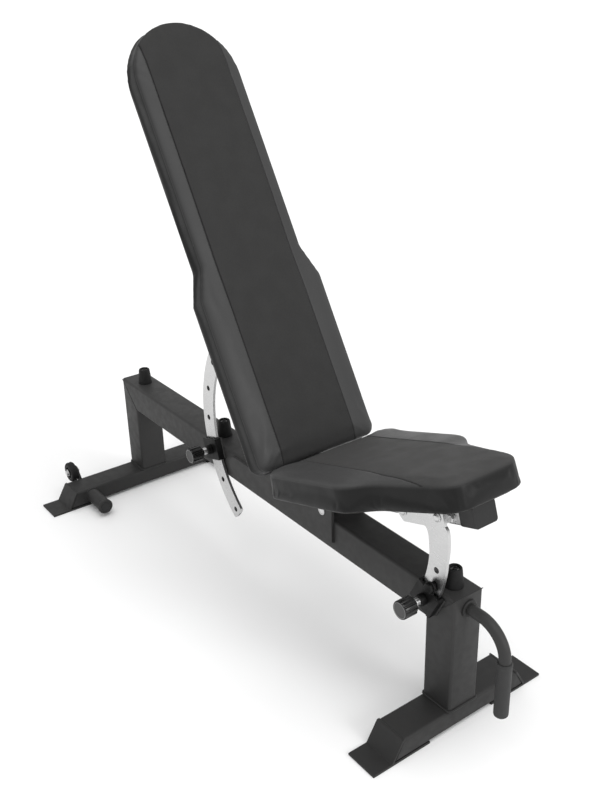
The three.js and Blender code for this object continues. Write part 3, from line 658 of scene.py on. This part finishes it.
def guide_screw():
    """The hexagon screw in the tongue of the seat ladder's guide."""
    low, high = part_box("seat_guide_screw")
    spot = Vector(((low.x + high.x) / 2, low.y + GUIDE_HEAD, (low.z + high.z) / 2))
    place = Matrix.Translation(spot) @ ALONG_RIGHT
    head = hex_head("seat_guide_hex", place, "frame", radius=10.4, height=6, washer=12.5,
                    material=SHADED_GUIDE_PAINT)
    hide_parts("seat_guide_screw")


CAP_SCREW = (245 * MM, -25.1 * MM, -5 * MM)  # on the seat tube's right side, in the seat's flat frame


def tube_screw():
    """The screw in the seat tube's right side that holds its end cap."""
    place = SEAT_FRAME @ Matrix.Translation(CAP_SCREW) @ ALONG_RIGHT
    hex_head("seat_tube_screw", place, "seat", radius=7.4, height=4.4, washer=9.6,
             material=ZINC)


BUMPER_WELL = 5.4  # in mm, the depth of the hollow that holds the screw


def bumper(name):
    """A tapered rubber buffer with a washer and a socket screw sunk in its top."""
    low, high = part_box(name)
    spot = Matrix.Translation(Vector(((low.x + high.x) / 2, (low.y + high.y) / 2, low.z)))
    tall = (high.z - low.z) / MM
    sunk = tall - BUMPER_WELL
    profile = [(0, 0), (17.2, 0), (17.4, 1.4), (17.0, 3.2), (15.6, tall * 0.47), (13.9, tall - 4),
               (13.2, tall - 1.4), (11.9, tall), (9.2, tall), (8.6, tall - 0.6), (8.4, sunk), (0, sunk)]
    cover = turned(name + "_rubber", profile, spot, "frame", RUBBER, 56)
    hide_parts(name)
    ring = [(4.4, sunk + 0.1), (8.1, sunk + 0.1), (8.1, sunk + 1.6), (4.4, sunk + 1.6), (4.4, sunk + 0.1)]
    turned(name + "_washer", ring, spot, "frame", ZINC, 40)
    head = [(0, sunk + 0.2), (4.3, sunk + 0.2), (4.3, sunk + 3.8), (3.8, sunk + 4.3), (2.4, sunk + 4.3),
            (2.4, sunk + 2), (0, sunk + 2)]
    turned(name + "_screw", head, spot, "frame", PAINT, 30, edge=0.15 * MM)


def on_pin(side, y):
    """The place on a pull pin's axis at y, with Z out to the right."""
    knob_middle = middle_of(f"{side}_pin_knob")
    return Matrix.Translation(Vector((knob_middle.x, y, knob_middle.z))) @ ALONG_RIGHT


def barrel(side):
    """A pull pin's barrel: a flange on the guide, darkened as painted shade like the guides, and the bright neck
    that comes out of it.
    """
    place = on_pin(side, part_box(f"{side}_pin_barrel")[1].y - 0.2 * MM)
    flange = [(5.4, 0), (11, 0), (11, 11), (10.2, 12), (5.4, 12), (5.4, 0)]
    sleeve = turned(f"{side}_barrel_flange", flange, place, "frame", SHADED_GUIDE_PAINT, 40)
    neck = [(5.4, 11.8), (8, 11.8), (8, 20), (7.4, 20.8), (5.4, 20.8), (5.4, 11.8)]
    tube = turned(f"{side}_barrel_neck", neck, place, "frame", ZINC, 40)
    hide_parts(f"{side}_pin_barrel")


KNOB_RIBS = 12
KNOB_COLLAR = 5.6  # in mm, the plain stretch before the ribs


def knob(side):
    """A ribbed pull knob with a lighter insert and a rim on its face."""
    low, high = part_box(f"{side}_pin_knob")
    place = on_pin(side, high.y)
    length = (high.y - low.y) / MM
    radius = (high.x - low.x) / 2 / MM
    profile = [(0, 0.2), (9, 0.2), (10, 0.8), (10, KNOB_COLLAR - 1.6), (radius - 1.5, KNOB_COLLAR),
               (radius, KNOB_COLLAR + 1.6), (radius, length * 0.55), (radius, length - 3),
               (radius - 0.6, length - 1.4), (radius - 2.4, length - 0.3), (radius - 3.4, length),
               (radius - 3.8, length - 1.4), (0, length - 1.4)]
    ribbed = range(4, 9)  # the profile's points along the ribbed stretch

    def shape(angle, index):
        if index not in ribbed:
            return 1
        wave = math.cos(KNOB_RIBS * angle)
        return 0.93 - 0.12 * max(0.0, -wave) ** 0.6

    body = f"{side}_pin"
    grip = turned(f"{side}_knob_grip", profile, place, body, KNOB_PLASTIC, KNOB_RIBS * 12, shape, 0.15 * MM)
    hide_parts(f"{side}_pin_knob")
    disc = [(0, length - 1.3), (radius - 5.2, length - 1.3), (radius - 5.2, length - 0.7), (0, length - 0.5)]
    insert = turned(f"{side}_knob_insert", disc, place, body, KNOB_FACE, 48, edge=0.1 * MM)
    rim = [(radius - 5.0, length - 1.3), (radius - 3.9, length - 1.3), (radius - 4.0, length + 0.1),
           (radius - 4.8, length + 0.1), (radius - 5.0, length - 1.3)]
    ring = turned(f"{side}_knob_rim", rim, place, body, KNOB_RIM, 48, edge=0.1 * MM)


def lifting_handle():
    """A bar that bends down from the front post, with a flange at its root and a rubber sleeve, which is
    open where the bar enters it."""
    low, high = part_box("handle_bar")
    grip_low, grip_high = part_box("handle_grip")
    radius, collar, bend = 11 * MM, 17 * MM, 60 * MM
    level = high.z - collar
    x = high.x - radius
    middle = Vector((x - bend, 0, level - bend))
    path = [Vector((low.x + 0.5 * MM, 0, level)), Vector((low.x + 12 * MM, 0, level))]
    for i in range(29):
        a = math.pi / 2 * (1 - i / 28)
        path.append(middle + bend * Vector((math.cos(a), 0, math.sin(a))))
    path.append(Vector((x, 0, grip_low.z + 10 * MM)))
    bar = swept("handle_tube", path, radius, "frame", PAINT, 36)
    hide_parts("handle_bar")
    foot = Matrix.Translation(Vector((low.x, 0, level))) @ ALONG_X
    disc = [(0, 0.1), (17, 0.1), (17, 3.6), (15.5, 5), (0, 5)]
    turned("handle_flange", disc, foot, "frame", PAINT, 48)
    length = (grip_high.z - grip_low.z) / MM
    profile = [(0, 0), (8.5, 0), (11.5, 0.9), (13, 2.6), (13.5, 5), (13.5, length - 7), (14.1, length - 6),
               (14.1, length - 2.4), (13.2, length - 0.4), (12, length), (11.2, length), (11.2, length - 3)]
    spot = Matrix.Translation(Vector((x, 0, grip_low.z)))
    grip = turned("handle_grip_sleeve", profile, spot, "frame", hand_grip(), 56)
    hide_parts("handle_grip")


def wheel(side):
    """A solid tyre on a plastic hub with a sunk web."""
    body = f"wheel_{side}"
    place = Matrix.Translation(middle_of(body)) @ ALONG_RIGHT
    tyre = [(17, -8.4), (20.5, -9), (23.6, -8.2), (25.4, -6), (26, -3.4), (25.3, -1.3), (25.3, 1.3),
            (26, 3.4), (25.4, 6), (23.6, 8.2), (20.5, 9), (17, 8.4), (17, -8.4)]
    ring = turned(f"{body}_tyre", tyre, place, body, RUBBER, 72, edge=0.2 * MM)
    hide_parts(body)
    hub = [(4.4, -9), (8, -9), (8.8, -8.2), (9.2, -5), (15, -4.4), (15.4, -8), (17, -8.4), (17, 8.4),
           (15.4, 8), (15, 4.4), (9.2, 5), (8.8, 8.2), (8, 9), (4.4, 9), (4.4, -9)]
    centre = turned(f"{body}_hub", hub, place, body, PLASTIC, 60, edge=0.2 * MM)


def band_peg(side):
    """A round peg on the rear foot, with a lip and a cap pressed into its end."""
    node = f"band_peg_{side}"
    low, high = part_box(node)
    place = Matrix.Translation(Vector((low.x, (low.y + high.y) / 2, (low.z + high.z) / 2))) @ ALONG_X
    length = (high.x - low.x) / MM
    r = (high.z - low.z) / 2 / MM
    profile = [(0, 0.2), (r - 1.5, 0.2), (r - 1.5, length - 9), (r - 0.6, length - 8.4), (r, length - 7),
               (r, length - 2.2), (r - 0.8, length - 0.6), (r - 2.4, length), (r - 5, length),
               (r - 5.8, length - 1.3), (0, length - 1.3)]
    peg = turned(f"{node}_tube", profile, place, "frame", PAINT, 56)
    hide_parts(node)
    cap = [(0, length - 1.2), (r - 6.4, length - 1.2), (r - 7.2, length - 0.3), (0, length - 0.1)]
    turned(f"{node}_cap", cap, place, "frame", PLASTIC, 48, edge=0.2 * MM)


def guide_frame(side):
    """The pin's place in a guide, in the mid plane, with Z out to the right and Y along the guide."""
    pin = middle_of(f"{side}_pin_plunger")
    pivot = (BACK_FRAME if side == "back" else SEAT_FRAME).translation
    away = Vector((pin.x - pivot.x, 0, pin.z - pivot.z)).normalized()
    along = Vector((-away.z, 0, away.x)) * (1 if away.x > 0 else -1)
    columns = Matrix((along.cross(RIGHT), along, RIGHT)).transposed().to_4x4()
    return Matrix.Translation(Vector((pin.x, 0, pin.z))) @ columns


WELD_RIPPLE = 0.13
MITRE_WELD = (1.5 * MM, 68 * MM)  # where the bead on a mitre starts and ends, in from the outer corner
GUIDE_WELD = (-24 * MM, 24 * MM)  # where the bead beside a guide starts and ends
PLATE_CORNER = 24 * MM  # from a side plate's rear end to the start of its bead
PEG_BEAD_RADIUS = 17.8 * MM
GUIDE_HALF = 28.6 * MM  # from a guide's middle to the beads beside its walls


def weld(name, path, radius=2.6 * MM, closed=False):
    bead = swept(name, spaced(path, closed=closed), radius, "frame", PAINT, 8, closed, WELD_RIPPLE)


def welds():
    """Beads at the posts' feet and mitres, under the side plates, round the pegs and beside the guides."""
    half = TUBE_HALF
    for post in ("rear_post", "front_post"):
        low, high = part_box(post)
        centre = Vector(((low.x + high.x) / 2, 0, low.z + 1.0 * MM))
        foot = round_rectangle(centre, half + 0.6 * MM, half + 0.6 * MM, TUBE_CORNER)
        weld(f"{post}_weld", foot, closed=True)
        outer, inward = (low.x, 1) if post == "rear_post" else (high.x, -1)
        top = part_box("main_beam")[1].z
        for side, y in (("right", -half), ("left", half)):
            mitre = [(outer + inward * reach, y, top - reach) for reach in MITRE_WELD]
            weld(f"{post}_mitre_{side}_weld", mitre, 0.9 * MM)
    for side in ("left", "right"):
        low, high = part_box(f"pivot_plate_{side}")
        y = (-1 if side == "right" else 1) * (half + 1.2 * MM)
        level = low.z - 0.4 * MM
        weld(f"pivot_plate_{side}_weld", [(low.x + PLATE_CORNER, y, level), (high.x - PLATE_ARM, y, level)])
        peg = middle_of(f"band_peg_{side}")
        root = Vector((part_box(f"band_peg_{side}")[0].x + 0.6 * MM, peg.y, peg.z))
        ring = circle(root, PEG_BEAD_RADIUS, -RIGHT, UP)
        weld(f"band_peg_{side}_weld", ring, 1.8 * MM, closed=True)
    for side in ("back", "seat"):
        place = guide_frame(side)
        for end, across in (("upper", GUIDE_HALF), ("lower", -GUIDE_HALF)):
            line = [place @ Vector((across, step, half + 1.0 * MM)) for step in GUIDE_WELD]
            weld(f"{side}_guide_{end}_weld", line, 2.2 * MM)


# ---------------------------------------------------------------- camera, floor and light
def camera():
    azimuth, elevation, roll = map(math.radians, (CAMERA_AZIMUTH, CAMERA_ELEVATION, CAMERA_ROLL))
    back = Vector((math.cos(elevation) * math.cos(azimuth), math.cos(elevation) * math.sin(azimuth),
                   math.sin(elevation)))
    level = (-back).cross(UP).normalized()
    upright = level.cross(-back)
    right = level * math.cos(roll) + upright * math.sin(roll)
    top = upright * math.cos(roll) - level * math.sin(roll)
    data = bpy.data.cameras.new("camera")
    data.lens = CAMERA_LENS
    data.sensor_width = 36
    data.clip_end = 200
    eye = bpy.data.objects.new("camera", data)
    bpy.context.scene.collection.objects.link(eye)
    turn = Matrix((right, top, back)).transposed().to_4x4()
    eye.matrix_world = Matrix.Translation(Vector(CAMERA_AT)) @ turn
    bpy.context.scene.camera = eye


def floor():
    bm = bmesh.new()
    bmesh.ops.create_grid(bm, x_segments=8, y_segments=8, size=60)
    mesh = bpy.data.meshes.new("studio_floor")
    bm.to_mesh(mesh)
    bm.free()
    n = Nodes("studio_floor_paint")
    n.set(Base_Color=n.mix(n.noise(3), grey(0.885), grey(0.895)), Roughness=0.85)
    mesh.materials.append(n.material)
    ground = bpy.data.objects.new("studio_floor", mesh)
    bpy.context.scene.collection.objects.link(ground)
    ground.location.z = -0.1 * MM


def sun(name, comes_from, energy, spread):
    """A distant lamp, softened by its spread in degrees."""
    lamp = bpy.data.lights.new(name, "SUN")
    lamp.energy = energy
    lamp.angle = math.radians(spread)
    source = bpy.data.objects.new(name, lamp)
    bpy.context.scene.collection.objects.link(source)
    source.rotation_euler = (-Vector(comes_from)).to_track_quat("-Z", "Y").to_euler()


SURROUND_STRENGTH = 0.76


def light():
    """White surroundings, a broad key from above and a smaller light on the seat end."""
    world = bpy.data.worlds.new("studio")
    world.use_nodes = True
    background = world.node_tree.nodes["Background"]
    background.inputs["Color"].default_value = (1, 1, 1, 1)
    background.inputs["Strength"].default_value = SURROUND_STRENGTH
    bpy.context.scene.world = world
    sun("soft_key", comes_from=(0.2, -0.05, 1.0), energy=1.35, spread=55)
    sun("front_light", comes_from=(1.0, 0.25, 0.5), energy=0.95, spread=24)
    bpy.context.scene.view_settings.view_transform = "Standard"


# ---------------------------------------------------------------- build
camera()
floor()
light()
dress_cad_nodes()
pad("back_cushion", "back_pad", "back", BACK_FRAME, seam=89 * MM, flare=0.0, tones=BACK_TONES, voxel=6 * MM,
    rounding=9 * MM, inset=(-0.5 * MM, -0.5 * MM, 1.0 * MM))
pad("seat_cushion", "seat_pad", "seat", SEAT_FRAME, seam=80 * MM, flare=15 * MM, tones=SEAT_TONES,
    voxel=5 * MM, rounding=8 * MM, inset=(-0.5 * MM, -0.5 * MM, 0.5 * MM), skirt=9 * MM)
for bumper_name in ("rear_bumper", "middle_bumper", "front_bumper"):
    bumper(bumper_name)
for pin_side in ("back", "seat"):
    barrel(pin_side)
    knob(pin_side)
for wheel_side in ("right", "left"):
    wheel(wheel_side)
    band_peg(wheel_side)
lifting_handle()
guide_screw()
tube_screw()
welds()
